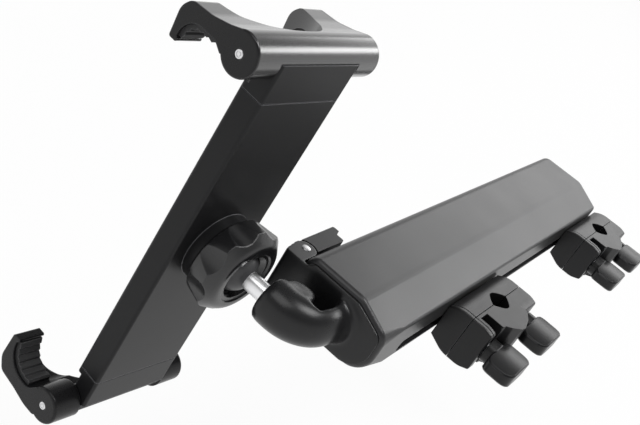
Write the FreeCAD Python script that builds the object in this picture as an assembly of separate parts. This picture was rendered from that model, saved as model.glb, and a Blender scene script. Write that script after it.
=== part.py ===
# Headrest car holder: a bar with two clamps for the posts of a headrest, a pull-out arm
# with a ball joint, and a spring cradle whose two folding jaws grip a tablet.
# Millimetres. X runs along the bar, Y from the seat towards the passenger, Z up.
# The origin is the axis of the near clamp's post, level with the clamp's top face.
import FreeCAD, Part
import math
import os

os.makedirs("parts", exist_ok=True)
V = FreeCAD.Vector

# Clearances shared by all pieces
run_gap = 0.06
slide_gap = 0.35
seam = 0.15

# Clamps
post_spacing = 127.0
clamp_near_edge, clamp_far_edge = -24.0, 20.5
clamp_height = 17.4
clamp_reach = 8.4
clamp_shoulder, clamp_hip = 1.9, 2.9
clamp_edge = 0.6
groove_width = 12.2
post_radius = 4.0
tongue_reach = 4.8
rim_width = 4.0
knob_spacing = 34.0
knob_hub_radius = 4.4
knob_hub_length = 3.2
paddle_width, paddle_length = 20.0, 10.6
paddle_thickness, paddle_edge = 6.8, 4.0
stud_radius = 2.5
nut_flats, nut_thickness = 8.0, 4.0

# Bar
bar_near, bar_far = -75.0, post_spacing + 15.2
bar_front, bar_back = 9.0, 42.5
bar_top, bar_bottom = 7.5, -14.0
bar_edge_height = 2.0
bar_crease = 21.5
bar_wall = 2.4
mouth_corner, mouth_length = 8.6, 13.0
rail_height, rail_lip, rail_depth = 4.6, 2.3, 3.6
rail_overhang = 1.6
rail_near, rail_far = -55.0, post_spacing + 11.0
rib_length = 14.0

# Arm and end block
arm_length, arm_wall = 150.0, 1.8
channel_front = 8.6
block_thickness, block_inset = 1.25, 1.3
neck_y, neck_width, neck_height = 27.4, 15.6, 14.8
flare_width, flare_height, flare_end = 21.4, 15.6, 5.0
elbow_bend = 9.0
elbow_tip = 41.5
arm_screw_radius = 1.1

# Lock lever
lever_pin_x, lever_pin_y, lever_pin_radius = -69.0, 46.5, 1.0
lever_top, lever_bottom = 4.5, -11.5
lever_tail, lever_back = -47.0, 50.2
knuckle_height = 10.2

# Ball joint
ball_centre = V(-90.6, 55.5, -3.5)
ball_radius = 7.5
stem_radius, stem_seat = 3.0, 9.0
ring_thickness = 0.7
nut_radius, nut_front, nut_back = 15.0, -6.0, 4.8
thread_radius = 12.0

# Cradle, drawn upright about the ball's centre
cradle_turn, cradle_lean = -5.6, 1.8
cradle_width = 35.5
cradle_back, cradle_front = 8.6, 17.2
shell_top, shell_bottom = 52.6, -54.4
shell_wall, cover_thickness = 2.0, 1.8
slide_end, foot_end = 65.0, -65.2
slide_width, slide_tail = 17.2, -44.0
spring_radius, spring_wire, spring_turns = 1.7, 0.45, 9
spring_low = 14.0
cover_screw_radius = 0.9

# Jaws
jaw_width = 56.0
jaw_pin_y, upper_pin_z, lower_pin_z = 15.2, 63.8, -67.4
jaw_pin_radius = 1.4
knuckle_radius = 3.4
upper_barrel, lower_barrel, barrel_end = 6.3, 5.9, 0.8
upper_waist, lower_waist = upper_barrel, 5.0
upper_web, lower_web = -1.6, -0.6
upper_drop, lower_drop = 0.0, 2.4
hook_length, hook_drop = 22.0, 9.9
window_gap, window_y = 0.8, 36.0
pad_thickness, pad_inset = 1.1, 1.0
rib_count, rib_height = 6, 0.5

clamp_mid = -clamp_height / 2


def box(x0, x1, y0, y1, z0, z1):
    return Part.makeBox(x1 - x0, y1 - y0, z1 - z0, V(x0, y0, z0))


def rod(radius, start, end):
    start, end = V(*start), V(*end)
    return Part.makeCylinder(radius, (end - start).Length, start, end - start)


def rounded_wire(points, radii, lift):
    """Closed outline with an arc at each corner; lift turns (a, b) into a 3-D point."""
    n = len(points)
    ends = []
    for i in range(n):
        p = V(points[i][0], points[i][1], 0)
        a = (V(points[i - 1][0], points[i - 1][1], 0) - p).normalize()
        b = (V(points[(i + 1) % n][0], points[(i + 1) % n][1], 0) - p).normalize()
        r = radii[i]
        if r <= 0:
            ends.append((p, p, None))
            continue
        half = a.getAngle(b) / 2
        t = r / math.tan(half)
        mid = p + (a + b).normalize() * (r / math.sin(half) - r)
        ends.append((p + a * t, p + b * t, mid))
    edges = []
    for i in range(n):
        start, end, mid = ends[i]
        if mid is not None:
            edges.append(Part.Arc(lift(start), lift(mid), lift(end)).toShape())
        follow = ends[(i + 1) % n][0]
        if end.distanceToPoint(follow) > 1e-6:
            edges.append(Part.makeLine(lift(end), lift(follow)))
    return Part.Wire(edges)


def wire_at_x(points, radii, x):
    return rounded_wire(points, radii, lambda p: V(x, p.x, p.y))


def along_x(points, radii, x0, x1):
    return Part.Face(wire_at_x(points, radii, x0)).extrude(V(x1 - x0, 0, 0))


def along_y(points, radii, y0, y1):
    wire = rounded_wire(points, radii, lambda p: V(p.x, y0, p.y))
    return Part.Face(wire).extrude(V(0, y1 - y0, 0))


def along_z(points, radii, z0, z1):
    wire = rounded_wire(points, radii, lambda p: V(p.x, p.y, z0))
    return Part.Face(wire).extrude(V(0, 0, z1 - z0))


def frame_of(a0, a1, b0, b1):
    """Corner points of a rectangle, anticlockwise from its low corner."""
    return [(a0, b0), (a1, b0), (a1, b1), (a0, b1)]


def turned(profile, base, axis):
    """Revolves a closed half profile of (radius, height) points about an axis."""
    wire = Part.makePolygon([V(r, 0, h) for r, h in profile + profile[:1]])
    solid = Part.Face(wire).revolve(V(0, 0, 0), V(0, 0, 1), 360)
    solid.Placement = FreeCAD.Placement(V(*base), FreeCAD.Rotation(V(0, 0, 1), V(*axis)))
    return solid


def on_plane(edge, axis, value):
    low, high = {"x": ("XMin", "XMax"), "y": ("YMin", "YMax"), "z": ("ZMin", "ZMax")}[axis]
    reach = edge.BoundBox
    return abs(getattr(reach, low) - value) < 1e-3 and abs(getattr(reach, high) - value) < 1e-3


def fillet(shape, radius, test):
    return shape.makeFillet(radius, [edge for edge in shape.Edges if test(edge)])


def save(name, shapes):
    solids = [solid for shape in shapes for solid in shape.removeSplitter().Solids]
    shape = solids[0] if len(solids) == 1 else Part.makeCompound(solids)
    if not shape.isValid():
        raise ValueError(name + " is not a valid shape")
    shape.exportStep("parts/" + name + ".step")
    print(name, len(solids), round(sum(solid.Volume for solid in solids) / 1000, 2), "cm3")


# Bar housing: one hollow moulding with a T rail in its front wall and an arm channel behind.
section = [(bar_front, bar_edge_height), (bar_crease, bar_top), (bar_back, bar_top),
           (bar_back, bar_bottom), (bar_front, bar_bottom)]
section_radii = [1.4, 6.0, 3.6, 3.6, 3.0]
mouth_radii = [5.0, 6.0, 3.6, 3.6, mouth_corner]
body = along_x(section, section_radii, bar_near + mouth_length, bar_far)
body = fillet(body, 2.2, lambda edge: on_plane(edge, "x", bar_far))
mouth = Part.makeLoft([wire_at_x(section, mouth_radii, bar_near),
                       wire_at_x(section, section_radii, bar_near + mouth_length)], True, True)
mouth = fillet(mouth, 1.8, lambda edge: on_plane(edge, "x", bar_near))
housing = body.fuse(mouth)
arm_y0, arm_y1 = bar_front + channel_front, bar_back - bar_wall
arm_z0, arm_z1 = bar_bottom + bar_wall, bar_top - bar_wall
channel = [(arm_y0, arm_z0), (arm_y1, arm_z0), (arm_y1, arm_z1), (arm_y0 + 4.0, arm_z1),
           (arm_y0, arm_z1 - 1.8)]
housing = housing.cut(along_x(channel, [0.8, 1.6, 1.6, 1.0, 0.8], bar_near - 1, bar_far - bar_wall))
rail_face = bar_front + rail_lip
slot = frame_of(rail_near, rail_far, clamp_mid - rail_height / 2, clamp_mid + rail_height / 2)
housing = housing.cut(along_y(slot, [rail_height / 2 - 0.01] * 4, bar_front - 1, rail_face + 1))
head_room = rail_height / 2 + rail_overhang
housing = housing.cut(box(rail_near, rail_far, rail_face, rail_face + rail_depth,
                          clamp_mid - head_room, clamp_mid + head_room))
save("bar_housing", [housing])

# Inner arm: rectangular tube that telescopes in the housing's channel.
tube_y0, tube_y1 = arm_y0 + 4.4, arm_y1 - slide_gap
tube_z0, tube_z1 = arm_z0 + slide_gap, arm_z1 - slide_gap
arm_start = bar_near - slide_gap
inner_arm = along_x(frame_of(tube_y0, tube_y1, tube_z0, tube_z1), [1.5] * 4,
                    arm_start, arm_start + arm_length)


def bore_fill(gap):
    """Section that fills the arm's bore with a gap all round."""
    wall = arm_wall + gap
    return frame_of(tube_y0 + wall, tube_y1 - wall, tube_z0 + wall, tube_z1 - wall)


inner_arm = inner_arm.cut(along_x(bore_fill(0), [0.6] * 4, arm_start - 1, arm_start + arm_length + 1))
tube_mid = (tube_y0 + tube_y1) / 2
arm_screw_x = [arm_start + 9, arm_start + 19]
screw_head_radius = arm_screw_radius + 0.9
for x in arm_screw_x:
    inner_arm = inner_arm.cut(rod(screw_head_radius + 0.1, (x, tube_mid, tube_z0 - 1),
                                  (x, tube_mid, tube_z0 + arm_wall / 2)))
    inner_arm = inner_arm.cut(rod(arm_screw_radius + run_gap, (x, tube_mid, tube_z0),
                                  (x, tube_mid, tube_z0 + arm_wall + 1)))
save("inner_arm", [inner_arm])

# Glide shoe: plastic plug in the arm's inner end that guides it along the channel.
glide_x = arm_start + arm_length
shoe = [(y + dy, z + dz) for (y, z), (dy, dz) in
        zip(channel, ((0.3, 0.3), (-0.3, 0.3), (-0.3, -0.3), (0.2, -0.3), (0.3, -0.2)))]
glide = along_x(bore_fill(0.1), [0.5] * 4, glide_x - 12, glide_x)
save("arm_glide", [glide.fuse(along_x(shoe, [0.8, 1.3, 1.3, 0.8, 0.8], glide_x, glide_x + 8))])

# End block: closes the bar's mouth and carries the lever's ears and the elbow of the ball arm.
block_x1 = bar_near - slide_gap
block_x0 = block_x1 - block_thickness
face_outline = [(bar_front + block_inset, bar_edge_height - 0.5), (bar_crease, bar_top - block_inset),
                (bar_back - block_inset, bar_top - block_inset),
                (bar_back - block_inset, bar_bottom + block_inset),
                (bar_front + block_inset, bar_bottom + block_inset)]
end_block = along_x(face_outline, [4.0, 6.0, 3.0, 3.0, mouth_corner - 0.6], block_x0, block_x1)
end_block = end_block.fuse(along_x(bore_fill(0.15), [0.5] * 4, block_x1 - 0.5, arm_start + 24))
screw_depth = arm_wall + 6.5
for x in arm_screw_x:
    end_block = end_block.cut(rod(arm_screw_radius, (x, tube_mid, tube_z0),
                                  (x, tube_mid, tube_z0 + screw_depth + 0.3)))

# Ears: two plates of the end block that stand behind the bar and hold the lever's pin.
ear_y = bar_back + slide_gap
ear_round = lever_pin_y - ear_y
ears = along_z([(block_x0, bar_back - 3.0), (block_x1, bar_back - 3.0), (block_x1, ear_y),
                (lever_pin_x, ear_y), (lever_pin_x, lever_pin_y + ear_round),
                (lever_pin_x - 1.5, lever_pin_y + ear_round), (block_x0 + 0.6, lever_back - 0.8),
                (block_x0, lever_back - 1.6)], [0] * 8, lever_bottom, lever_top)
ears = ears.fuse(rod(ear_round, (lever_pin_x, lever_pin_y, lever_bottom),
                     (lever_pin_x, lever_pin_y, lever_top)))
lever_mid = (lever_top + lever_bottom) / 2
knuckle_low, knuckle_high = lever_mid - knuckle_height / 2, lever_mid + knuckle_height / 2
ears = ears.cut(box(lever_pin_x - ear_round - 1, lever_pin_x + ear_round + 1, bar_back, lever_back + 1,
                    knuckle_low - slide_gap, knuckle_high + slide_gap))
ears = ears.cut(rod(lever_pin_radius, (lever_pin_x, lever_pin_y, lever_bottom - 1),
                    (lever_pin_x, lever_pin_y, lever_top + 1)))

# Elbow: an oval neck swept from the block's face round to the cradle side.
elbow_x, elbow_z = ball_centre.x, ball_centre.z
root_x = block_x0 + 0.6
cut_back = elbow_bend * (1 - math.sqrt(0.5))
path = Part.Wire([
    Part.makeLine(V(root_x, neck_y, elbow_z), V(elbow_x + elbow_bend, neck_y, elbow_z)),
    Part.Arc(V(elbow_x + elbow_bend, neck_y, elbow_z), V(elbow_x + cut_back, neck_y + cut_back, elbow_z),
             V(elbow_x, neck_y + elbow_bend, elbow_z)).toShape(),
    Part.makeLine(V(elbow_x, neck_y + elbow_bend, elbow_z), V(elbow_x, elbow_tip - 1.6, elbow_z))])
oval = Part.Ellipse(V(root_x, neck_y, elbow_z), neck_width / 2, neck_height / 2)
oval.Axis = V(1, 0, 0)
neck = path.makePipeShell([Part.Wire([oval.toShape()])], True, False)
tip_radius = neck_height / 2 - 0.2
tip = turned([(0, 0), (tip_radius, 0), (tip_radius, 0.6), (tip_radius - 0.6, 1.3),
              (tip_radius - 1.6, 1.6), (0, 1.6)], (elbow_x, elbow_tip - 1.6, elbow_z), (0, 1, 0))
flare_rim = Part.Ellipse(V(root_x, neck_y + 1.0, elbow_z), flare_width / 2, flare_height / 2)
flare_rim.Axis = V(1, 0, 0)
flare_neck = Part.Ellipse(V(root_x - flare_end, neck_y, elbow_z), neck_width / 2 - 0.1, neck_height / 2 - 0.1)
flare_neck.Axis = V(1, 0, 0)
flare = Part.makeLoft([Part.Wire([flare_rim.toShape()]), Part.Wire([flare_neck.toShape()])], True)
end_block = end_block.fuse([ears, neck, tip, flare])

# Web in the elbow's inner corner, and the deep slot between it and the block's face.
web_top = elbow_z + neck_height / 2 - 0.5
web_low = elbow_z - neck_height / 2 + 1.0
nose_x = root_x - 6.0
web = along_z([(elbow_x, neck_y + elbow_bend), (elbow_x + cut_back, neck_y + cut_back), (nose_x, neck_y),
               (nose_x, neck_y + 9.6), (nose_x - 2.4, neck_y + 12.4), (elbow_x, neck_y + 12.4)],
              [0, 0, 0, 2.0, 2.0, 0], web_low, web_top)
web = fillet(web, 1.2, lambda edge: on_plane(edge, "z", web_top) and edge.BoundBox.XMin > elbow_x + 0.5)
end_block = end_block.fuse(web)
pocket = along_z([(block_x0, neck_y - 1.2), (block_x0, neck_y + 16), (nose_x, neck_y + 16),
                  (nose_x, neck_y + 5.0), (nose_x - 2.6, neck_y + 3.2), (nose_x - 6.2, neck_y + 3.0),
                  (nose_x - 6.0, neck_y - 0.6), (nose_x, neck_y - 1.6)],
                 [1.0, 0, 0, 2.0, 2.0, 1.4, 1.4, 3.0], elbow_z - 1.5, elbow_z + neck_height)
end_block = end_block.cut(pocket)
end_block = end_block.cut(rod(stem_radius, (elbow_x, elbow_tip - stem_seat, elbow_z),
                              (elbow_x, elbow_tip + 1, elbow_z)))
save("end_block", [end_block])

# Arm screws: two pan-head screws that hold the tube on the block's tenon.
screws = []
for x in arm_screw_x:
    shank = rod(arm_screw_radius, (x, tube_mid, tube_z0 + 0.2), (x, tube_mid, tube_z0 + screw_depth))
    head = rod(screw_head_radius, (x, tube_mid, tube_z0 + 0.05),
               (x, tube_mid, tube_z0 + arm_wall / 2))
    screws.append(shank.fuse(head))
save("arm_screws", screws)

# Lock lever: turns between the ears on its pin; its pad bears on the bar's back wall.
lever_in = ear_y + 0.9
lever = along_z([(lever_pin_x, lever_in), (lever_tail - 2.6, lever_in), (lever_tail - 2.6, lever_in + 3.1),
                 (lever_tail, lever_in + 4.0), (lever_tail, lever_back),
                 (lever_pin_x, lever_back - 0.3)], [0, 0.8, 0.4, 0.4, 0.8, 0], lever_bottom, lever_top)
lever = lever.cut(rod(ear_round + 0.4, (lever_pin_x, lever_pin_y, lever_bottom - 1),
                      (lever_pin_x, lever_pin_y, lever_top + 1)))
lever = lever.cut(box(lever_pin_x - 8, lever_pin_x + 1, bar_back, lever_back + 1,
                      lever_bottom - 1, lever_top + 1))
knuckle = rod(ear_round, (lever_pin_x, lever_pin_y, knuckle_low), (lever_pin_x, lever_pin_y, knuckle_high))
bridge = box(lever_pin_x, lever_pin_x + ear_round + 2.8, lever_pin_y - 2.1, lever_pin_y + 2.1,
             knuckle_low, knuckle_high)
pad = box(lever_pin_x + 11, lever_pin_x + 17, bar_back + slide_gap, lever_in + 0.4,
          lever_mid - 3.5, lever_mid + 3.5)
lever = lever.fuse([knuckle, bridge, pad])
lever = lever.cut(rod(lever_pin_radius + run_gap, (lever_pin_x, lever_pin_y, lever_bottom - 1),
                      (lever_pin_x, lever_pin_y, lever_top + 1)))
save("lock_lever", [lever])
save("lever_pin", [rod(lever_pin_radius, (lever_pin_x, lever_pin_y, lever_bottom + 0.1),
                       (lever_pin_x, lever_pin_y, lever_top + 0.15))])

# Ball stem: steel rod pressed into the elbow, with the ball moulded on its end.
save("ball_stem", [rod(stem_radius, (elbow_x, elbow_tip - stem_seat, elbow_z),
                       (elbow_x, ball_centre.y, elbow_z))])
ball = Part.makeSphere(ball_radius, ball_centre)
ball = ball.cut(rod(stem_radius, (elbow_x, elbow_tip, elbow_z), (elbow_x, ball_centre.y, elbow_z)))
save("ball", [ball])

# Everything past the ball is drawn upright about the ball's centre and turned as it is saved.
cradle_pose = FreeCAD.Placement(ball_centre, FreeCAD.Rotation(cradle_turn, 0, cradle_lean))


def save_on_cradle(name, shapes):
    moved = []
    for shape in shapes:
        shape = shape.removeSplitter()
        shape.Placement = cradle_pose.multiply(shape.Placement)
        moved.append(shape)
    save(name, moved)


# Seat rings: two thin spherical liners between the ball and its socket.
def seat_ring(inner, y_low, y_high):
    shell = Part.makeSphere(inner + ring_thickness).cut(Part.makeSphere(inner))
    reach = inner + 2
    return shell.common(box(-reach, reach, y_low, y_high, -reach, reach))


inner_ring_radius = ball_radius + run_gap
outer_ring_radius = inner_ring_radius + ring_thickness + run_gap
socket_radius = outer_ring_radius + ring_thickness + run_gap
save_on_cradle("inner_seat_ring", [seat_ring(inner_ring_radius, 2.4, ball_radius - 1.5)])
save_on_cradle("outer_seat_ring", [seat_ring(outer_ring_radius, 2.0, ball_radius - 1.1)])

# Ball nut: eight-lobed lock nut with hollowed flats that screws onto the shell's socket.
nut_rear = nut_radius - 1.2
nut = turned([(0, nut_front), (nut_radius - 3.4, nut_front), (nut_radius, nut_front + 3.4),
              (nut_rear, nut_back - 0.8), (nut_rear - 0.8, nut_back), (0, nut_back)],
             (0, 0, 0), (0, 1, 0))
nut = fillet(nut, 3.4, lambda edge: on_plane(edge, "y", nut_front))
hollow = 11.0
hollow_centre = nut_radius + hollow - 1.4
for i in range(8):
    angle = math.radians(22.5 + 45 * i)
    x, z = hollow_centre * math.cos(angle), hollow_centre * math.sin(angle)
    nut = nut.cut(rod(hollow, (x, nut_front - 1, z), (x, nut_back + 1, z)))
nut_floor = -1.6
nut = nut.cut(rod(thread_radius + run_gap, (0, nut_floor, 0), (0, nut_back + 1, 0)))
lip = ball_radius - 0.8
mouth_cut = turned([(0, nut_front - 1), (lip + 2.6, nut_front - 1), (lip + 2.6, nut_front),
                    (lip + 2.2, nut_front + 0.5), (lip + 1.2, nut_front + 0.5),
                    (lip, nut_front + 1.9), (lip, nut_floor + 0.6), (0, nut_floor + 0.6)],
                   (0, 0, 0), (0, 1, 0))
nut = nut.cut(mouth_cut).cut(Part.makeSphere(ball_radius + run_gap))
save_on_cradle("ball_nut", [nut])

# Cradle shell: channel body with the threaded socket moulded on its back.
half = cradle_width / 2
body_outline = frame_of(-half, half, cradle_back, cradle_front)
body_radii = [1.0, 1.0, 1.2, 1.2]
shell = along_z(body_outline, body_radii, shell_bottom, shell_top)
room_back, room_front = cradle_back + shell_wall, cradle_front - cover_thickness
room_half = half - shell_wall
cover_half = room_half + shell_wall / 2
shell = shell.cut(box(-room_half, room_half, room_back, cradle_front + 1,
                      shell_bottom + shell_wall, shell_top + 1))
shell = shell.cut(box(-cover_half, cover_half, room_front, cradle_front + 1,
                      shell_bottom + shell_wall / 2, shell_top + 1))
shell = shell.fuse(rod(thread_radius, (0, nut_floor + 0.4, 0), (0, room_back, 0)))
spring_x = slide_width / 2 + spring_radius + spring_wire + 0.8
spring_y = (room_back + room_front) / 2
peg = spring_radius + spring_wire
shell = shell.fuse(box(spring_x - peg, spring_x + peg, room_back, room_front - 0.5,
                       spring_low - 2.4, spring_low))
shell = shell.cut(Part.makeSphere(socket_radius))
screw_x = room_half - 2.6
cover_screws_at = [(side * screw_x, z) for z in (shell_bottom + 6, 6.0) for side in (-1, 1)]
for x, z in cover_screws_at:
    shell = shell.fuse(rod(cover_screw_radius + 1.3, (x, room_back, z), (x, room_front, z)))
    shell = shell.cut(rod(cover_screw_radius, (x, room_back + 0.6, z), (x, room_front + 1, z)))
foot_tongue = 5.8
shell = shell.cut(box(-foot_tongue - 0.2, foot_tongue + 0.2, room_back + 1, room_front - 1,
                      shell_bottom - 1, shell_bottom + shell_wall + 1))
save_on_cradle("cradle_shell", [shell])

# Front cover and its screws: a flat plate over the shell's open side.
cover = box(-cover_half + seam, cover_half - seam, room_front, cradle_front,
            shell_bottom + shell_wall / 2 + seam, shell_top)
screws = []
for x, z in cover_screws_at:
    head_radius = cover_screw_radius + 1.0
    cover = cover.cut(rod(cover_screw_radius + 0.2, (x, room_front - 1, z), (x, cradle_front + 1, z)))
    cover = cover.cut(rod(head_radius + 0.2, (x, cradle_front - 0.9, z), (x, cradle_front + 1, z)))
    shank = rod(cover_screw_radius, (x, room_back + 1.0, z), (x, cradle_front - 0.3, z))
    screws.append(shank.fuse(rod(head_radius, (x, cradle_front - 0.9, z), (x, cradle_front - 0.1, z))))
save_on_cradle("front_cover", [cover])
save_on_cradle("cover_screws", screws)


def end_section(z_in, z_out, pin_z):
    """Body section beyond a seam, ending in a knuckle round the jaw pin."""
    out = 1 if pin_z > 0 else -1
    section = along_z(body_outline, body_radii, min(z_in, z_out), max(z_in, z_out))
    relief_y = jaw_pin_y - 2.6
    relief = [(relief_y, z_in + out * 2.2), (cradle_front + 1, z_in + out * 2.2),
              (cradle_front + 1, z_out + out), (relief_y, z_out + out)]
    section = section.cut(along_x(relief, [0.6, 0, 0, 0], -half - 1, half + 1))
    section = section.fuse(rod(knuckle_radius, (-half, jaw_pin_y, pin_z), (half, jaw_pin_y, pin_z)))
    web = along_x([(cradle_back + 1, z_in + out), (jaw_pin_y, z_in + out), (jaw_pin_y, pin_z),
                   (cradle_back + 1, pin_z)], [0, 0, 0, 0], -half, half)
    section = section.fuse(web)
    return section.cut(rod(jaw_pin_radius + run_gap, (-half - 1, jaw_pin_y, pin_z),
                           (half + 1, jaw_pin_y, pin_z)))


# Upper slide: end section on a flat rail that runs inside the shell, with the spring's lug.
slide_seam = shell_top + seam
spring_high = shell_top - 1.4
slide = end_section(slide_seam, slide_end, upper_pin_z)
rail = box(-slide_width / 2, slide_width / 2, room_back + slide_gap, room_front - slide_gap,
           slide_tail, slide_seam + 0.4)
rail = rail.cut(box(-3.0, 3.0, room_back + 1.2, room_front + 1, slide_tail + 4, shell_top - 12))
lug = box(spring_x - peg, spring_x + peg, room_back + slide_gap, room_front - slide_gap,
          spring_high, slide_seam + 0.4)
save_on_cradle("upper_slide", [slide.fuse([rail, lug])])


def coil(turns, pitch, radius, wire_radius, sides):
    """Helical wire of many-sided section, its axis on Z from the origin."""
    helices = []
    for i in range(sides):
        angle = 2 * math.pi * i / sides
        helix = Part.makeHelix(pitch, pitch * turns, radius + wire_radius * math.cos(angle))
        helix.translate(V(0, 0, wire_radius * math.sin(angle)))
        helices.append(helix.Edges[0] if len(helix.Edges) == 1 else helix)
    faces = []
    for i in range(sides):
        faces += Part.makeRuledSurface(helices[i], helices[(i + 1) % sides]).Faces
    for end in (0, -1):
        points = [helix.Vertexes[end].Point for helix in helices]
        faces.append(Part.Face(Part.makePolygon(points + points[:1])))
    return Part.Solid(Part.makeShell(faces))


# Return spring: tension spring beside the rail, between the shell's peg and the slide's lug.
pitch = (spring_high - spring_low - 2 * spring_wire - 0.1) / spring_turns
spring = coil(spring_turns, pitch, spring_radius, spring_wire, 6)
spring.translate(V(spring_x, spring_y, spring_low + spring_wire + 0.05))
save_on_cradle("return_spring", [spring])

# Lower end: fixed end section with a tongue pressed into the shell.
foot = end_section(shell_bottom - seam, foot_end, lower_pin_z)
foot = foot.fuse(box(-foot_tongue, foot_tongue, room_back + 1.2, room_front - 1.2,
                     shell_bottom - 1, shell_bottom + shell_wall + 3))
save_on_cradle("lower_end", [foot])

# Hook jaws: a barrel over the knuckle with two hooks that stand forward either side.
jaw_half = jaw_width / 2
ear_inside = half + 0.25


def on_jaw(out, pin_z):
    """Turns (forward, outward) offsets from a jaw's pin into (y, z)."""
    return lambda dy, dz: (jaw_pin_y + dy, pin_z + out * dz)


def hook_bend(drop):
    """Radius of the hook's inner curve."""
    return 6.2 + 0.8 * drop


def hook_jaw(out, pin_z, barrel, waist, drop, web, outside):
    at = on_jaw(out, pin_z)
    inner = hook_length - 2.6
    outline = [at(0, 0), at(0.8 * barrel, -0.58 * barrel), at(8.0, drop - 1.8), at(inner, drop - 1.8),
               at(inner, 1.6 - hook_drop), at(inner - 0.8, 0.9 - hook_drop), at(inner - 0.8, -hook_drop),
               at(hook_length - 0.5, -hook_drop), at(hook_length + 0.3, drop / 2 - 1.0),
               at(hook_length - 2.2, drop + 2.1), at(12.5, drop + 2.7), at(6.5, drop * 0.8 + 4.2),
               at(1.0, barrel - 0.05)]
    radii = [0, 0.5, 4.0, hook_bend(drop), 0.3, 0.3, 0.6, 0.7, 5.0, 2.6, 12.0, 14.0, 2.0]
    jaw = along_x(outline, radii, -jaw_half, jaw_half)
    jaw = jaw.fuse(rod(waist, (-ear_inside, jaw_pin_y, pin_z), (ear_inside, jaw_pin_y, pin_z)))
    for side in (-1, 1):
        ear = rod(barrel, (side * ear_inside, jaw_pin_y, pin_z), (side * jaw_half, jaw_pin_y, pin_z))
        jaw = jaw.fuse(fillet(ear, barrel_end, lambda edge: on_plane(edge, "x", side * jaw_half)))
    window = half + window_gap
    jaw = jaw.cut(rod(window, (0, window_y, pin_z - 20), (0, window_y, pin_z + 20)))
    jaw = jaw.cut(box(-window, window, window_y, window_y + 20, pin_z - 20, pin_z + 20))
    jaw = jaw.cut(rod(knuckle_radius + 0.3, (-ear_inside, jaw_pin_y, pin_z), (ear_inside, jaw_pin_y, pin_z)))
    notch = [at(-12, outside), at(-2.2, outside), at(1.0, 0.0), at(3.0, web), at(12, web),
             at(12, -16), at(-12, -16)]
    jaw = jaw.cut(along_x(notch, [0] * 7, -ear_inside, ear_inside))
    return jaw.cut(rod(jaw_pin_radius, (-jaw_half - 1, jaw_pin_y, pin_z), (jaw_half + 1, jaw_pin_y, pin_z)))


def hook_pads(out, pin_z, drop, jaw):
    """Ribbed rubber liners that follow the inner curve of the two hooks."""
    at = on_jaw(out, pin_z)
    inner = hook_length - 2.6
    bend = hook_bend(drop) - pad_thickness
    mid_y, mid_z = inner - pad_thickness - bend, drop - 1.8 - pad_thickness - bend
    path = [(8.8, mid_z + bend), (mid_y, mid_z + bend)]
    for angle in (70, 50, 30, 10):
        turn = math.radians(angle)
        path.append((mid_y + bend * math.cos(turn), mid_z + bend * math.sin(turn)))
    path.append((inner - pad_thickness, 1.5 - hook_drop))
    lengths = [math.dist(path[i], path[i + 1]) for i in range(len(path) - 1)]
    face = []
    for k in range(2 * rib_count + 1):
        left = sum(lengths) * (k // 2 + 0.3 * (k % 2)) / rib_count
        i = 0
        while i < len(lengths) - 1 and left > lengths[i]:
            left -= lengths[i]
            i += 1
        (y0, z0), (y1, z1) = path[i], path[i + 1]
        t = left / lengths[i]
        lift = rib_height * (k % 2)
        face.append(at(y0 + (y1 - y0) * t + lift * (z1 - z0) / lengths[i],
                       z0 + (z1 - z0) * t - lift * (y1 - y0) / lengths[i]))
    outline = face + [at(inner + 1, 1.5 - hook_drop), at(inner + 1, drop - 0.8), at(8.8, drop - 0.8)]
    pads = []
    for side in (-1, 1):
        x0, x1 = sorted((side * (half + window_gap + 0.2), side * (jaw_half - pad_inset)))
        pads.append(along_x(outline, [0] * len(outline), x0, x1).cut(jaw))
    return pads


for name, out, pin_z, barrel, waist, drop, web, outside in (
        ("upper", 1, upper_pin_z, upper_barrel, upper_waist, upper_drop, upper_web,
         slide_end - upper_pin_z + seam),
        ("lower", -1, lower_pin_z, lower_barrel, lower_waist, lower_drop, lower_web, 0.6)):
    jaw = hook_jaw(out, pin_z, barrel, waist, drop, web, outside)
    save_on_cradle(name + "_jaw", [jaw])
    save_on_cradle(name + "_jaw_pads", hook_pads(out, pin_z, drop, jaw))
    save_on_cradle(name + "_jaw_pin", [rod(jaw_pin_radius, (-jaw_half + 0.05, jaw_pin_y, pin_z),
                                           (jaw_half - 0.05, jaw_pin_y, pin_z))])

# Post clamps: two alike, each a base on the rail, a loose outer jaw, two knobs on studs.
seat_y = bar_front - slide_gap
side_profile = [(seat_y, -clamp_shoulder), (seat_y - 3.3, 0.0), (-clamp_reach + 2.8, 0.0),
                (-clamp_reach, -0.9), (-clamp_reach, -clamp_height + 1.5),
                (-clamp_reach + 3.8, -clamp_height), (seat_y - 6.2, -clamp_height),
                (seat_y, -clamp_height + clamp_hip)]
side_radii = [0, 10.0, 8.0, 0.9, 0.9, 8.0, 10.0, 0]
jaw_face = 0.12
knob_x = (-knob_spacing / 2, knob_spacing / 2)
hub_face = -clamp_reach - 0.3
bolt_radius = rail_height / 2 - 0.3


def post_groove():
    """Pointed hole for a post: a round bottom and bowed flanks in each half."""
    w, r = groove_width / 2, post_radius
    turn = math.radians(32)
    side, deep = r * math.sin(turn), r * math.cos(turn)
    flank = (w * w - r * r) / (2 * r - 2 * w * math.sin(turn))
    spread = (turn + math.atan2(w + flank * math.sin(turn), flank * math.cos(turn))) / 2
    bow_x = (r + flank) * math.sin(spread) - flank * math.sin(turn)
    bow_y = (r + flank) * math.cos(spread) - flank * math.cos(turn)
    edges = []
    for up in (1, -1):
        for way in (1, -1):
            edges.append(Part.Arc(V(way * w, 0, 1), V(way * bow_x, up * bow_y, 1),
                                  V(way * side, up * deep, 1)).toShape())
        edges.append(Part.Arc(V(side, up * deep, 1), V(0, up * r, 1), V(-side, up * deep, 1)).toShape())
    wire = Part.Wire(Part.__sortEdges__(edges))
    return Part.Face(wire).extrude(V(0, 0, -clamp_height - 2))


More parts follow.
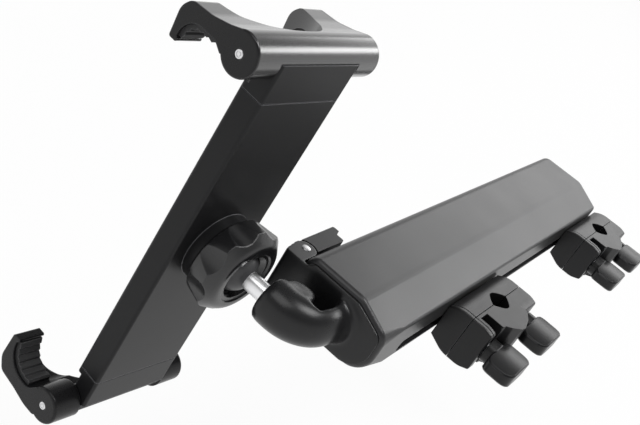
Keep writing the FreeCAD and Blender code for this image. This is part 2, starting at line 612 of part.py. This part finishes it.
def clamp_block():
    """Whole clamp before it is parted, with softened ends."""
    block = along_x(side_profile, side_radii, clamp_near_edge, clamp_far_edge)
    return fillet(block, clamp_edge, lambda edge: (on_plane(edge, "x", clamp_near_edge)
                  or on_plane(edge, "x", clamp_far_edge)) and not on_plane(edge, "y", seat_y))


def rim_groove(y0, y1):
    """Fine groove across the top, along the middle of the near rim."""
    line = clamp_near_edge + rim_width / 2
    strip = along_x(side_profile, side_radii, line, line + 0.5)
    core = along_x(side_profile, side_radii, line - 0.1, line + 0.6)
    core.translate(V(0, 0, -0.35))
    return strip.cut(core).common(box(line - 1, line + 1, y0, y1, -clamp_height / 2, 1))


def hexagon(x, flats, y0, y1):
    corner = flats / 2 / math.cos(math.pi / 6)
    points = [(x + corner * math.cos(math.radians(30 + 60 * i)),
               clamp_mid + corner * math.sin(math.radians(30 + 60 * i))) for i in range(6)]
    return along_y(points, [0] * 6, y0, y1)


nut_seat = seat_y - 2.6 - nut_thickness


def clamp_base():
    """Inner half: seats on the bar's rail and holds the nuts captive."""
    base = clamp_block()
    base = base.common(box(clamp_near_edge, clamp_far_edge, jaw_face, bar_back, -clamp_height - 1, 1))
    rib = rail_height / 2 - 0.15
    base = base.fuse(box(-rib_length / 2, rib_length / 2, seat_y - 0.5, rail_face - 0.6,
                         clamp_mid - rib, clamp_mid + rib))
    base = base.cut(post_groove())
    for x in knob_x:
        base = base.cut(rod(stud_radius + run_gap, (x, -1, clamp_mid), (x, seat_y + 1, clamp_mid)))
        base = base.cut(hexagon(x, nut_flats + 0.3, nut_seat, seat_y + 1))
    base = base.cut(rod(bolt_radius, (0, bar_front - 3.4, clamp_mid), (0, rail_face + 1, clamp_mid)))
    return base.cut(rim_groove(jaw_face, bar_front))


def clamp_jaw():
    """Outer half: a block with a bulged tongue and an open slot for the near stud."""
    jaw = clamp_block()
    jaw = jaw.common(box(clamp_near_edge, clamp_far_edge, -clamp_reach - 1, -jaw_face,
                         -clamp_height - 1, 1))
    slot_end = knob_x[0] + stud_radius + 0.3
    crest = -clamp_reach - tongue_reach
    tongue = along_z([(slot_end, -4.0), (slot_end, -clamp_reach + 0.2),
                      (slot_end + 1.9, -clamp_reach - 0.1), (-10.0, crest + 2.6), (-6.2, crest + 0.4),
                      (-3.6, crest), (2.8, crest + 1.6), (7.7, crest + 4.2), (7.7, -4.0)],
                     [0, 0.5, 1.0, 3.0, 1.4, 1.6, 2.4, 0.8, 0], -clamp_height + 0.6, 0)
    jaw = jaw.fuse(tongue).cut(post_groove())
    jaw = jaw.cut(box(clamp_near_edge + rim_width, slot_end, crest - 1, -1.2, -clamp_height - 1, 1))
    for x in knob_x:
        jaw = jaw.cut(rod(stud_radius + 0.3, (x, crest, clamp_mid), (x, 1, clamp_mid)))
    return jaw.cut(rim_groove(-clamp_reach - 1, -jaw_face))


def knob(x):
    """Wing knob: round hub and a thick paddle with bowed faces."""
    hub = turned([(0, 0), (knob_hub_radius, 0), (knob_hub_radius, knob_hub_length), (0, knob_hub_length)],
                 (x, hub_face, clamp_mid), (0, -1, 0))
    wide, thick = paddle_width / 2, paddle_thickness / 2
    near_y = hub_face - knob_hub_length + 0.5
    paddle = along_z(frame_of(x - wide, x + wide, near_y - paddle_length, near_y),
                     [3.8, 3.8, 3.2, 3.2], clamp_mid - thick, clamp_mid + thick)
    rise = (paddle_thickness - paddle_edge) / 2
    bow = (wide * wide + rise * rise) / (2 * rise)
    for centre in (clamp_mid + thick - bow, clamp_mid - thick + bow):
        paddle = paddle.common(rod(bow, (x, near_y + 1, centre), (x, near_y - paddle_length - 1, centre)))
    paddle = paddle.makeChamfer(0.5, [edge for edge in paddle.Edges if edge.BoundBox.ZMin > clamp_mid + 0.5
                                      or edge.BoundBox.ZMax < clamp_mid - 0.5])
    return hub.fuse(paddle).cut(stud_tail(x))


def stud_tail(x):
    """Knurled end of a stud that is moulded into its knob."""
    return rod(stud_radius - 0.4, (x, hub_face - 8.6, clamp_mid), (x, hub_face, clamp_mid))


def stud(x):
    shank = rod(stud_radius, (x, hub_face, clamp_mid), (x, seat_y - 0.2, clamp_mid))
    return shank.fuse(stud_tail(x))


def clamp_nuts():
    nuts = []
    for x in knob_x:
        block = hexagon(x, nut_flats, nut_seat, nut_seat + nut_thickness)
        nuts.append(block.cut(rod(stud_radius + run_gap, (x, 0, clamp_mid), (x, seat_y, clamp_mid))))
    return nuts


def rail_bolt():
    """Hammer-head bolt: its head is turned across the slot behind the wall."""
    shank = rod(bolt_radius, (0, bar_front - 3.4, clamp_mid), (0, rail_face + 0.3, clamp_mid))
    reach = head_room - 0.35
    head = box(-bolt_radius, bolt_radius, rail_face + 0.2, rail_face + rail_depth - 0.6,
               clamp_mid - reach, clamp_mid + reach)
    return shank.fuse(head)


for name, x in (("near", 0.0), ("far", post_spacing)):
    for piece, shapes in (("clamp_base", [clamp_base()]), ("clamp_jaw", [clamp_jaw()]),
                          ("knob_1", [knob(knob_x[0])]), ("knob_2", [knob(knob_x[1])]),
                          ("stud_1", [stud(knob_x[0])]), ("stud_2", [stud(knob_x[1])]),
                          ("clamp_nuts", clamp_nuts()), ("rail_bolt", [rail_bolt()])):
        for shape in shapes:
            shape.translate(V(x, 0, 0))
        save(name + "_" + piece, shapes)
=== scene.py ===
import math
import bmesh
import bpy
import numpy as np
from mathutils import Matrix, Vector


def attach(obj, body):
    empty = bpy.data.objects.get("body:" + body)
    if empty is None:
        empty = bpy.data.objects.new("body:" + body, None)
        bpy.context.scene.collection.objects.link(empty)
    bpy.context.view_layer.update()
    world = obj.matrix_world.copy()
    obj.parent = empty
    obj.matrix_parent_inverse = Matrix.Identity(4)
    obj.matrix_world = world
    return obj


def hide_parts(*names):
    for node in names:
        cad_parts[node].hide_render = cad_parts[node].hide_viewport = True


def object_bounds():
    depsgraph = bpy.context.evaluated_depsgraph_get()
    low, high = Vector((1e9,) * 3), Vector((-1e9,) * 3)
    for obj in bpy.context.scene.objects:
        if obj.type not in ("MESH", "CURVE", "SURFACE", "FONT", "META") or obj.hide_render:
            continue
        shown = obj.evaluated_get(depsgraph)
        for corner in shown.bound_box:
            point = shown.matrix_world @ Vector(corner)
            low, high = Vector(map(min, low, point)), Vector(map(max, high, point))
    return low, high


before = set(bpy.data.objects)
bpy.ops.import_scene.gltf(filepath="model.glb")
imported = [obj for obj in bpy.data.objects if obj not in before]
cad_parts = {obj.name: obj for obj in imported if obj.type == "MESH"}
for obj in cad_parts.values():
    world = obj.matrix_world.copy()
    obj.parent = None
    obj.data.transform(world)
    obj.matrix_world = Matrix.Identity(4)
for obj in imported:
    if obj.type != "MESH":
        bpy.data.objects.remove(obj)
cad_low, cad_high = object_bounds()


# Bar housing: the hollow bar that the headrest posts carry, one moulding in black ABS.
# Its mould was spark eroded, so the skin has a fine grain, and slow clouds in the sheen
# where the plastic filled the mould.
class Shade:
    """A socket of a finish, so that its arithmetic reads as an expression."""

    def __init__(self, finish, socket):
        self.finish, self.socket = finish, socket

    def math(self, operation, first, second=0.0):
        return self.finish.node("ShaderNodeMath", {"operation": operation}, {0: first, 1: second})

    def __add__(self, other):
        return self.math("ADD", self, other)

    __radd__ = __add__

    def __sub__(self, other):
        return self.math("SUBTRACT", self, other)

    def __rsub__(self, other):
        return self.math("SUBTRACT", other, self)

    def __mul__(self, other):
        return self.math("MULTIPLY", self, other)

    def __abs__(self):
        return self.math("ABSOLUTE", self)


class Finish:
    """A material being built. Every node in it comes from the method node."""

    def __init__(self, name):
        self.material = bpy.data.materials.new(name)
        self.material.use_nodes = True
        self.tree = self.material.node_tree
        self.tree.nodes.clear()

    def node(self, kind, settings=None, inputs=None, output=0):
        made = self.tree.nodes.new(kind)
        for key, value in (settings or {}).items():
            setattr(made, key, value)
        for key, value in (inputs or {}).items():
            if isinstance(value, Shade):
                self.tree.links.new(value.socket, made.inputs[key])
            else:
                made.inputs[key].default_value = value
        return Shade(self, made.outputs[output])

    def place(self):
        return self.node("ShaderNodeTexCoord", output="Object")

    def noise(self, scale, detail=2.0, where=None):
        return self.node("ShaderNodeTexNoise", {},
                         {"Vector": where or self.place(), "Scale": scale, "Detail": detail})

    def tint(self, mask, low, high):
        """Colour that runs from low to high with the mask."""
        return self.node("ShaderNodeMix", {"data_type": "RGBA"}, {0: mask, 6: low, 7: high}, 2)

    def bump(self, height, strength, depth, **under):
        return self.node("ShaderNodeBump", {},
                         {"Height": height, "Strength": strength, "Distance": depth, **under})

    def complete(self, shader):
        """The material, with the shader as its surface."""
        end = self.tree.nodes.new("ShaderNodeOutputMaterial")
        self.tree.links.new(shader.socket, end.inputs["Surface"])
        return self.material

    def surface(self, **values):
        inputs = {key.replace("_", " "): value for key, value in values.items()}
        return self.complete(self.node("ShaderNodeBsdfPrincipled", {}, inputs))


def toned(colour, share):
    """The colour made darker or lighter by a share, as a socket takes it."""
    return tuple(c * share for c in colour) + (1.0,)


def moulded(name, colour, roughness, grain=2600.0, depth=0.00003, clouds=45.0, specular=0.42,
            edge=0.0003, edge_wear_and_highlight=6.0, polish=None):
    """Moulded plastic: fine eroded grain as bump, slow clouds in its sheen and tone, edges broken by
    a small radius, and a lighter line where two faces meet, painted into the colour: partly edge
    wear, mostly a painted highlight. The polish, if any, gives the places that were polished to a
    clear gloss."""
    finish = Finish(name)
    cloud = finish.noise(clouds, 3.0)
    speck = finish.noise(grain)
    rounded = finish.node("ShaderNodeBevel", {"samples": 6}, {"Radius": edge})
    flat = finish.node("ShaderNodeNewGeometry", output="Normal")
    meet = 1.0 - finish.node("ShaderNodeVectorMath", {"operation": "DOT_PRODUCT"},
                             {0: rounded, 1: flat}, "Value")
    # Painted highlight with some edge wear: where faces meet, the base colour is lightened toward a
    # brighter copy of the colour, in a line where the light would catch the edge.
    edge_wear_and_highlight_mask = finish.node("ShaderNodeMath", {"operation": "MULTIPLY", "use_clamp": True},
                      {0: meet * (0.6 + cloud), 1: 3.0})
    skin = finish.tint(cloud * 0.7 + speck * 0.3, toned(colour, 0.86), toned(colour, 1.16))
    gloss = {}
    if polish:
        gloss = {"Coat_Weight": polish(finish), "Coat_IOR": 1.7, "Coat_Roughness": 0.25}
    return finish.surface(
        Base_Color=finish.tint(edge_wear_and_highlight_mask * 0.8, skin, toned(colour, edge_wear_and_highlight)),
        Roughness=roughness + (cloud - 0.5) * 0.08 + (speck - 0.5) * 0.06,
        Normal=finish.bump(speck, 0.35, depth, Normal=rounded),
        Specular_IOR_Level=specular, **gloss)


def finish_nodes(material, *names):
    for name in names:
        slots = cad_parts[name].data.materials
        slots.clear()
        slots.append(material)


bar_black = moulded("satin_black_bar", (0.016, 0.016, 0.017), 0.36, specular=0.45)
finish_nodes(bar_black, "bar_housing")

# Inner arm: rectangular tube of drawn aluminium, black anodised, that telescopes in the bar.
# Drawing leaves fine lines along it, and sliding polishes them.
anodised = Finish("black_anodised_tube")
drawn = anodised.node("ShaderNodeMapping", {},
                      {"Vector": anodised.place(), "Scale": (12.0, 1400.0, 1400.0)})
lines = anodised.noise(1.0, 3.0, drawn)
slid = anodised.noise(30.0)
tube_black = anodised.surface(
    Base_Color=anodised.tint(lines, (0.02, 0.02, 0.022, 1.0), (0.05, 0.05, 0.055, 1.0)),
    Roughness=0.3 + (slid - 0.5) * 0.2, Metallic=0.7, Normal=anodised.bump(lines, 0.3, 0.00002))
finish_nodes(tube_black, "inner_arm")

# Glide shoe and arm screws: a natural acetal plug that runs in the bar, and two zinc
# plated screws that hold the tube on the end block.
acetal = moulded("natural_acetal", (0.62, 0.61, 0.57), 0.42, grain=900.0, depth=0.00001,
                 edge_wear_and_highlight=1.3)
finish_nodes(acetal, "arm_glide")


def plated(name, colour, roughness):
    """Plated steel: a fine bump from the turned steel, and a little cloud in the plating."""
    finish = Finish(name)
    cloud = finish.noise(160.0, 3.0)
    return finish.surface(
        Base_Color=finish.tint(cloud, toned(colour, 0.8), toned(colour, 1.1)),
        Roughness=roughness + (cloud - 0.5) * 0.12, Metallic=1.0,
        Normal=finish.bump(finish.noise(3500.0), 0.2, 0.00001))


zinc = plated("zinc_plated_steel", (0.42, 0.42, 0.43), 0.34)
finish_nodes(zinc, "arm_screws")

# End block: closes the bar's mouth and carries the lever's ears and the elbow. It is one
# moulding in glass filled nylon, a shade darker and smoother than the bar, whose web and
# pocket flow into the elbow.
nylon = moulded("black_nylon_block", (0.010, 0.010, 0.0107), 0.29, grain=2200.0,
                depth=0.00002, clouds=60.0, specular=0.36)
block_grid = 0.0003
block_rounds, elbow_rounds = 3, 110
elbow_from_x, elbow_to_y = -0.0765, 0.0405


def linked(name, data):
    piece = bpy.data.objects.new(name, data)
    bpy.context.scene.collection.objects.link(piece)
    return piece


def apply_modifiers(piece):
    ready = piece.evaluated_get(bpy.context.evaluated_depsgraph_get())
    piece.data = bpy.data.meshes.new_from_object(ready)
    piece.modifiers.clear()


# The solid's skin is drawn again on a fine grid and evened out a little, and many times at
# the elbow.
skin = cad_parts["end_block"].data.copy()
joined = bmesh.new()
joined.from_mesh(skin)
bmesh.ops.remove_doubles(joined, verts=joined.verts, dist=1e-6)
joined.to_mesh(skin)
joined.free()
block = linked("moulded_end_block", skin)
grid = block.modifiers.new("grid", "REMESH")
grid.mode, grid.voxel_size = "VOXEL", block_grid
apply_modifiers(block)
points = np.empty(len(block.data.vertices) * 3)
block.data.vertices.foreach_get("co", points)
x, y, z = points.reshape(-1, 3).T
elbow = np.flatnonzero((x < elbow_from_x) & (y < elbow_to_y))
block.vertex_groups.new(name="elbow").add(elbow.tolist(), 1.0, "REPLACE")
for rounds, group in ((block_rounds, ""), (elbow_rounds, "elbow")):
    even = block.modifiers.new("even", "SMOOTH")
    even.factor, even.iterations, even.vertex_group = 0.5, rounds, group
apply_modifiers(block)
block.vertex_groups.clear()
block.data.shade_smooth()
block.data.materials.clear()
block.data.materials.append(nylon)
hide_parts("end_block")
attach(block, "arm")

# Lock lever and its pin: a nylon lever between the ears, on a polished steel pin. The pin's
# lower end keeps the ring of the drill, and its upper end is spread to a head.
lever_black = moulded("black_nylon_lever", (0.012, 0.012, 0.0127), 0.40, grain=2400.0,
                      specular=0.34)
finish_nodes(lever_black, "lock_lever")
pin_steel = plated("polished_pin_steel", (0.78, 0.78, 0.79), 0.3)


def turns(count):
    return np.linspace(0.0, 2 * math.pi, count, endpoint=False)


def ringed(name, rings, axis, side, base):
    """Skin through rings of points, with flat ends. The point at turn a of a ring is
    base + along * axis + radius * (cos a * side + sin a * other side)."""
    along, radius, turn = np.broadcast_arrays(*rings)
    axis, side = np.array(axis, float), np.array(side, float)
    other = np.cross(axis, side)
    round_axis = np.cos(turn)[..., None] * side + np.sin(turn)[..., None] * other
    points = np.array(base) + along[..., None] * axis + radius[..., None] * round_axis
    first = np.arange(radius.size).reshape(radius.shape)
    after = np.roll(first, -1, axis=1)
    quads = np.stack((first[:-1], after[:-1], after[1:], first[1:]), axis=-1).reshape(-1, 4)
    ends = [first[0][::-1].tolist(), first[-1].tolist()]
    mesh = bpy.data.meshes.new(name)
    mesh.from_pydata(points.reshape(-1, 3), [], quads.tolist() + ends)
    mesh.shade_smooth()
    mesh.set_sharp_from_angle(angle=0.6)
    return linked(name, mesh)


def turned_pin(name, node, body, base, axis, side, start, end, radius, head=None):
    """Round pin. Each end runs from a flat middle over a drilled ring to a broken edge, told
    as depth and radius in shares of the pin's radius, or the upper one is a low round head."""
    drilled = [(0.0, 0.36), (0.16, 0.42), (0.16, 0.56), (0.0, 0.62), (0.0, 0.84), (0.14, 1.0)]
    spread = [(0.3, 1.0), (0.1, 0.95), (0.02, 0.7), (0.0, 0.3)]
    profile = [(start + depth * radius, share * radius) for depth, share in drilled]
    if head:
        profile.append((end - 0.3 * radius, radius))
        profile += [(end - depth * radius, share * head) for depth, share in spread]
    else:
        profile += [(end - depth * radius, share * radius) for depth, share in drilled[::-1]]
    along, radii = np.array(profile).T
    piece = ringed(name, (along[:, None], radii[:, None], turns(48)), axis, side, base)
    piece.data.materials.append(pin_steel)
    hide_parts(node)
    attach(piece, body)


turned_pin("turned_lever_pin", "lever_pin", "arm", (-0.069, 0.0465, 0.0), (0, 0, 1), (1, 0, 0),
           -0.0114, 0.0048, 0.001, head=0.00145)

# Ball stem: chromed steel rod pressed into the elbow. The ball is moulded on its end and
# turns between two thin acetal rings.
chrome = Finish("chromed_stem")
haze = chrome.noise(90.0, 3.0)
stem_chrome = chrome.surface(
    Base_Color=chrome.tint(haze, (0.78, 0.78, 0.79, 1.0), (0.9, 0.9, 0.91, 1.0)),
    Roughness=0.24 + haze * 0.1, Metallic=1.0)
finish_nodes(stem_chrome, "ball_stem")
ball_grey = moulded("grey_ball", (0.05, 0.05, 0.052), 0.38, grain=1800.0, depth=0.00002)
finish_nodes(ball_grey, "ball")
finish_nodes(acetal, "inner_seat_ring", "outer_seat_ring")

# Ball nut: eight-lobed lock nut in glossier nylon, which clamps the socket on the ball. Its edges,
# the lobes' ridges among them, carry the moulded finish's lighter line, a painted highlight with some
# wear.
nut_black = moulded("glossy_black_nut", (0.010, 0.010, 0.0107), 0.24, grain=2400.0,
                    depth=0.000015, clouds=70.0, specular=0.6, edge=0.0005)
finish_nodes(nut_black, "ball_nut")

# Cradle: a long shell with its socket, the upper section that slides out of it, the lower
# end and the front cover, all in satin black ABS with the bar's eroded grain. A plated
# spring inside draws the upper section back.
# The cradle's edges carry a strong painted highlight: a line in the base colour far lighter than the
# body, standing in for light caught on the edges, with a little wear.
cradle_black = moulded("satin_black_cradle", (0.010, 0.010, 0.0107), 0.35, depth=0.000025,
                       clouds=28.0, specular=0.2, edge=0.0005, edge_wear_and_highlight=22.0)
finish_nodes(cradle_black, "cradle_shell", "upper_slide", "lower_end", "front_cover")
finish_nodes(zinc, "return_spring")

# Cover screws: four plated pan heads with a cross recess, sunk in the front cover. Each
# place is measured across and up the turned and leaning cradle from the ball's centre.
ball_centre = np.array((-0.0906, 0.0555, -0.0035))
cradle_turn, cradle_lean = math.radians(-5.6), math.radians(1.8)
across, outward, upright = np.array(
    Matrix.Rotation(cradle_turn, 3, "Z") @ Matrix.Rotation(cradle_lean, 3, "X")).T
screw_x, low_screw_z, high_screw_z = 0.01315, -0.0484, 0.006


def cross_screw(name, x, z):
    """Pan head: a dome falling with the square of the radius, with a cross sunk in it where
    either |across| or |up| is narrow and the radius is small, then the head's side and shank."""
    head_radius, head_top, dome = 0.0019, 0.0171, 0.00028
    cross_depth, cross_half, cross_wall = 0.00055, 0.00034, 0.00012
    cross_reach, cross_ramp = 0.00125, 0.00025
    share = np.concatenate((np.linspace(0.02, 0.96, 24), [1.0, 1.0, 0.47, 0.47]))
    radius, turn = np.meshgrid(share * head_radius, turns(96), indexing="ij")
    narrow = np.minimum(abs(np.cos(turn)), abs(np.sin(turn))) * radius
    sunk = (cross_depth * np.clip((cross_half - narrow) / cross_wall, 0, 1)
            * np.clip((cross_reach - radius) / cross_ramp, 0, 1))
    top = head_top - dome * (radius / head_radius) ** 2 - sunk
    top[-4], top[-3], top[-2], top[-1] = 0.01678, 0.0163, 0.0163, 0.0116
    piece = ringed(name, (top[::-1], radius[::-1], turn), outward, upright,
                   ball_centre + x * across + z * upright)
    piece.data.materials.append(zinc)
    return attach(piece, "cradle")


screw_places = [(x, z) for z in (low_screw_z, high_screw_z) for x in (-screw_x, screw_x)]
heads = [cross_screw("cover_screw_%d" % (i + 1), x, z) for i, (x, z) in enumerate(screw_places)]
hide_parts("cover_screws")

# Hook jaws: two folding jaws on steel pins, with soft ribbed pads in their hooks. The upper
# jaw is polished gunmetal black between its end faces, and the lower one is plain satin.
cheek_from, cheek_to = 0.0272, 0.0278
jaw_pin_out, jaw_pin_half, jaw_pin_radius = 0.0152, 0.02795, 0.0014


def between_cheeks(finish):
    """1 between the two end faces of a jaw and 0 on them, by the distance from its middle."""
    along = finish.node("ShaderNodeVectorMath", {"operation": "DOT_PRODUCT"},
                        {0: finish.place(), 1: tuple(across)}, "Value")
    away = abs(along - float(ball_centre @ across))
    return finish.node("ShaderNodeMapRange", {}, {"Value": away, "From Min": cheek_from,
                                                  "From Max": cheek_to, "To Min": 1.0, "To Max": 0.0})


upper_black = moulded("gunmetal_upper_jaw", (0.009, 0.009, 0.0096), 0.24, depth=0.000012,
                      clouds=50.0, specular=0.27, edge=0.0006, polish=between_cheeks)
finish_nodes(upper_black, "upper_jaw")
lower_black = moulded("satin_lower_jaw", (0.010, 0.010, 0.0107), 0.28, depth=0.00002,
                      clouds=50.0, specular=0.24, edge=0.0006)
finish_nodes(lower_black, "lower_jaw")
pad_rubber = moulded("soft_black_pads", (0.034, 0.034, 0.035), 0.6, grain=1500.0,
                     depth=0.00004, clouds=120.0, specular=0.3)
finish_nodes(pad_rubber, "upper_jaw_pads", "lower_jaw_pads")
for level, height in (("upper", 0.0638), ("lower", -0.0674)):
    turned_pin("turned_%s_jaw_pin" % level, level + "_jaw_pin", "jaw_" + level,
               ball_centre + jaw_pin_out * outward + height * upright, across, outward,
               -jaw_pin_half, jaw_pin_half, jaw_pin_radius)

# Post clamps: each has a base on the bar's rail and an outer jaw, in the bar's ABS, with
# two plated nuts and a hammer-head bolt inside.
# The clamps' edges carry a strong painted highlight: a line in the base colour much lighter than the
# body, with a little wear.
clamp_black = moulded("satin_black_clamps", (0.008, 0.008, 0.0086), 0.33, grain=2400.0,
                      clouds=90.0, specular=0.3, edge_wear_and_highlight=16.0)
for side in ("near_", "far_"):
    finish_nodes(clamp_black, side + "clamp_base", side + "clamp_jaw")
    finish_nodes(zinc, side + "clamp_nuts", side + "rail_bolt")

# Wing knobs: four thick paddles in the same ABS, a little glossier than the clamps, with a strong
# painted highlight along their edges, a lighter line in the base colour, partly wear.
# Each is moulded on the knurled tail of an M5 stud with a rolled thread.
knob_black = moulded("black_wing_knobs", (0.008, 0.008, 0.0086), 0.31, depth=0.00002,
                     clouds=110.0, specular=0.3, edge_wear_and_highlight=16.0)
near_post, far_post = 0.0, 0.127
knob_offset, stud_height = 0.017, -0.0087


def threaded_stud(name, x):
    """M5 thread: the radius at turn a and length l falls from crest to root with the distance
    of l / pitch - a / turn from the nearest crest; its last turn and the tail are plain."""
    pitch, crest, root, tail = 0.0008, 0.0025, 0.00206, 0.0021
    along = np.concatenate(([-0.0173, -0.0088, -0.0087],
                            np.arange(-0.0086, 0.0083, pitch / 8), [0.00845]))
    along, turn = np.meshgrid(along, turns(32), indexing="ij")
    phase = (along / pitch - turn / (2 * math.pi)) % 1.0
    radius = root + (crest - root) * np.clip(1.25 - 2.5 * abs(phase - 0.5), 0, 1)
    radius[:2], radius[2], radius[-1] = tail, crest - 0.0001, root - 0.0003
    piece = ringed(name, (along, radius, turn), (0, 1, 0), (0, 0, 1), (x, 0.0, stud_height))
    piece.data.materials.append(zinc)
    return piece


for side, post in (("near_", near_post), ("far_", far_post)):
    for number, offset in (("1", -knob_offset), ("2", knob_offset)):
        finish_nodes(knob_black, side + "knob_" + number)
        stud = threaded_stud("threaded_" + side + "stud_" + number, post + offset)
        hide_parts(side + "stud_" + number)
        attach(stud, side + "screw_" + number)

# Camera at the photograph's angle, 57.9 mm on a 36 mm sensor.
camera = linked("camera", bpy.data.cameras.new("camera"))
bpy.context.scene.camera = camera
camera.data.sensor_width, camera.data.lens = 36.0, 57.89
camera.data.clip_start, camera.data.clip_end = 0.01, 60.0
right, up = Vector((0.5033, -0.7254, 0.4695)), Vector((0.1813, 0.6200, 0.7634))
behind = right.cross(up)
camera.matrix_world = (Matrix.Translation((-0.32737, -0.04269, 0.1524))
                       @ Matrix((right, up, behind)).transposed().to_4x4())

# Floor: a plain pale sheet well below the holder. The camera and mirrored rays see it as
# bare white paper, and it still takes a little of the holder's shadow.
floor_drop, floor_half = 0.05, 30
floor_z = cad_low.z - floor_drop
corners = [(-floor_half, -floor_half, floor_z), (floor_half, -floor_half, floor_z),
           (floor_half, floor_half, floor_z), (-floor_half, floor_half, floor_z)]
sheet = bpy.data.meshes.new("floor")
sheet.from_pydata(corners, [], [(0, 1, 2, 3)])
floor = linked("floor", sheet)
paper = Finish("pale_floor")
lit = paper.node("ShaderNodeBsdfDiffuse", {}, {"Color": (0.85, 0.85, 0.85, 1.0)})
bare = paper.node("ShaderNodeEmission", {}, {"Color": (1.0, 1.0, 1.0, 1.0), "Strength": 1.0})
seen = (paper.node("ShaderNodeLightPath", output="Is Camera Ray")
        + paper.node("ShaderNodeLightPath", output="Is Glossy Ray")
        + paper.node("ShaderNodeLightPath", output="Is Transmission Ray"))
seen_once = paper.node("ShaderNodeMath", {"operation": "MINIMUM"}, {0: seen, 1: 1.0})
blend = paper.node("ShaderNodeMixShader", {}, {0: seen_once * 0.93, 1: lit, 2: bare})
floor.data.materials.append(paper.complete(blend))

# Sky and lamps: a pale horizon that dims overhead, a wide softbox beyond the far end for the
# bar's top, a strip for the jaw's barrel, and two boxes above.
sky = bpy.data.worlds.new("sky")
bpy.context.scene.world = sky
sky.use_nodes = True
heaven = sky.node_tree
toward = heaven.nodes.new("ShaderNodeTexCoord")
parts = heaven.nodes.new("ShaderNodeSeparateXYZ")
fall = heaven.nodes.new("ShaderNodeMapRange")
fall.interpolation_type = "SMOOTHSTEP"
for key, value in (("From Min", 0.2), ("From Max", 0.62), ("To Min", 0.9), ("To Max", 0.25)):
    fall.inputs[key].default_value = value
heaven.links.new(toward.outputs["Generated"], parts.inputs[0])
heaven.links.new(parts.outputs["Z"], fall.inputs["Value"])
heaven.links.new(fall.outputs["Result"], heaven.nodes["Background"].inputs["Strength"])
heaven.nodes["Background"].inputs["Color"].default_value = (1.0, 1.0, 1.0, 1.0)
middle = Vector((0.0, 0.04, 0.0))


def softbox(name, place, width, height, watts):
    """Lamp of this width and height that faces the middle of the holder."""
    lamp = bpy.data.lights.new(name, "AREA")
    lamp.shape, lamp.size, lamp.size_y, lamp.energy = "RECTANGLE", width, height, watts
    holder = linked(name, lamp)
    holder.location = place
    holder.rotation_mode = "QUATERNION"
    holder.rotation_quaternion = (middle - Vector(place)).to_track_quat("-Z", "Y")


softbox("far_softbox", (1.64, 0.04, 0.73), 1.17, 0.57, 4.8)
softbox("barrel_strip", (1.24, -0.62, 0.86), 0.55, 0.32, 4.2)
softbox("overhead_box", (0.22, -0.45, 1.62), 0.7, 0.7, 14.0)
softbox("left_box", (-0.75, 0.35, 1.54), 0.9, 0.9, 6.5)
bpy.context.scene.view_settings.view_transform = "Standard"
